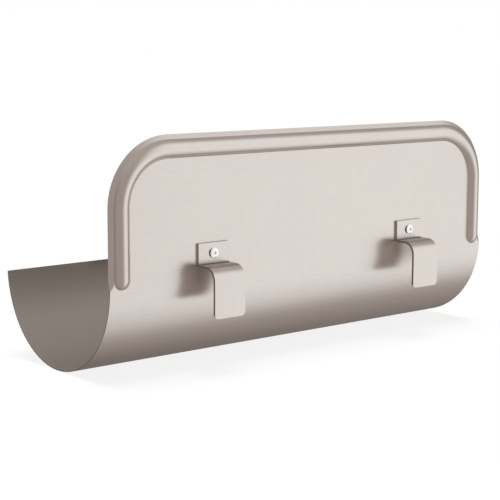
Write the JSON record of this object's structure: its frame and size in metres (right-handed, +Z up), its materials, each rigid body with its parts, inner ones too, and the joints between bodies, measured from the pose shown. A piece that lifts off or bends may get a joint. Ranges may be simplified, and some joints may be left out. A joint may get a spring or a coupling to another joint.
{
  "type": "gutter overflow guard",
  "caption": "Half-round gutter insert with a tall splash plate, pressed bead and turned-back rim, hung on the gutter's front roll by riveted strap hooks.",
  "frame": {"origin": "on the trough's axis at mid-length, which is the axis of the gutter that the guard lies in", "axes": "+X along the gutter, +Z up, -Y out through the face of the splash plate, towards the gutter's front roll"},
  "size_m": [0.4, 0.1688, 0.183],
  "materials": {
    "sheet": "satin zinc-coated sheet",
    "strap": "satin zinc-coated strap",
    "rivet": "bright",
    "mandrel": "dull, broken end"
  },
  "bodies": {
    "root": {"guard_sheet": "sheet", "hook_left": "strap", "hook_right": "strap", "rivet_left": "rivet", "rivet_right": "rivet", "mandrel_left": "mandrel", "mandrel_right": "mandrel"}
  },
  "joints": []
}
